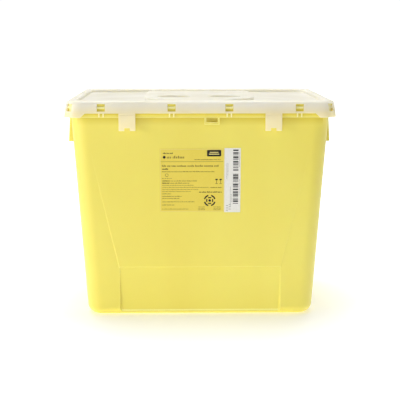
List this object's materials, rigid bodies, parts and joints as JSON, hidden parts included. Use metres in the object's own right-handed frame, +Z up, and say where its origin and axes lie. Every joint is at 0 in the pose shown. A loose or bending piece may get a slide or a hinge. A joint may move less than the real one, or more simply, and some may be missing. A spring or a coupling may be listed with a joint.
{
  "type": "sharps container",
  "caption": "Large drafted plastic sharps bin with a clip-on translucent lid, hinged drop flap, lock tabs and side grips; free-standing.",
  "frame": {"origin": "middle of the base, on the floor", "axes": "+Z up, +X along the long side, front at -Y"},
  "size_m": [0.435, 0.33, 0.353],
  "materials": {
    "bin_plastic": "injection-moulded polypropylene, yellow, satin",
    "lid_plastic": "natural polypropylene, milky translucent, satin",
    "seal": "soft moulded elastomer",
    "pad_fabric": "non-woven absorbent felt",
    "label_film": "printed film, mustard ground, dark print",
    "sticker_paper": "white paper, dark print"
  },
  "bodies": {
    "bin": {"bin_body": "bin_plastic", "absorbent_pad": "pad_fabric", "print_label": "label_film", "barcode_sticker": "sticker_paper"},
    "lid": {"lid_cover": "lid_plastic", "lid_gasket": "seal"},
    "flap": {"flap_door": "lid_plastic", "door_gasket": "seal"},
    "latch_front_left": {"latch_front_left": "lid_plastic"},
    "latch_front_right": {"latch_front_right": "lid_plastic"},
    "latch_rear_left": {"latch_rear_left": "lid_plastic"},
    "latch_rear_right": {"latch_rear_right": "lid_plastic"}
  },
  "joints": [
    {"name": "lid_lift", "type": "slide", "parent": "bin", "child": "lid", "axis": [0, 0, 1], "range_m": [0, 0.1]},
    {"name": "flap_hinge", "type": "hinge", "parent": "lid", "child": "flap", "pos_m": [0, 0.104, 0.3502], "axis": [-1, 0, 0], "range_deg": [0, 165]},
    {"name": "latch_front_left_hinge", "type": "hinge", "parent": "lid", "child": "latch_front_left", "pos_m": [-0.1146, -0.1631, 0.3332], "axis": [1, 0, 0], "range_deg": [-60, 12]},
    {"name": "latch_front_right_hinge", "type": "hinge", "parent": "lid", "child": "latch_front_right", "pos_m": [0.1146, -0.1631, 0.3332], "axis": [1, 0, 0], "range_deg": [-60, 12]},
    {"name": "latch_rear_left_hinge", "type": "hinge", "parent": "lid", "child": "latch_rear_left", "pos_m": [-0.1146, 0.1631, 0.3332], "axis": [-1, 0, 0], "range_deg": [-60, 12]},
    {"name": "latch_rear_right_hinge", "type": "hinge", "parent": "lid", "child": "latch_rear_right", "pos_m": [0.1146, 0.1631, 0.3332], "axis": [-1, 0, 0], "range_deg": [-60, 12]}
  ]
}
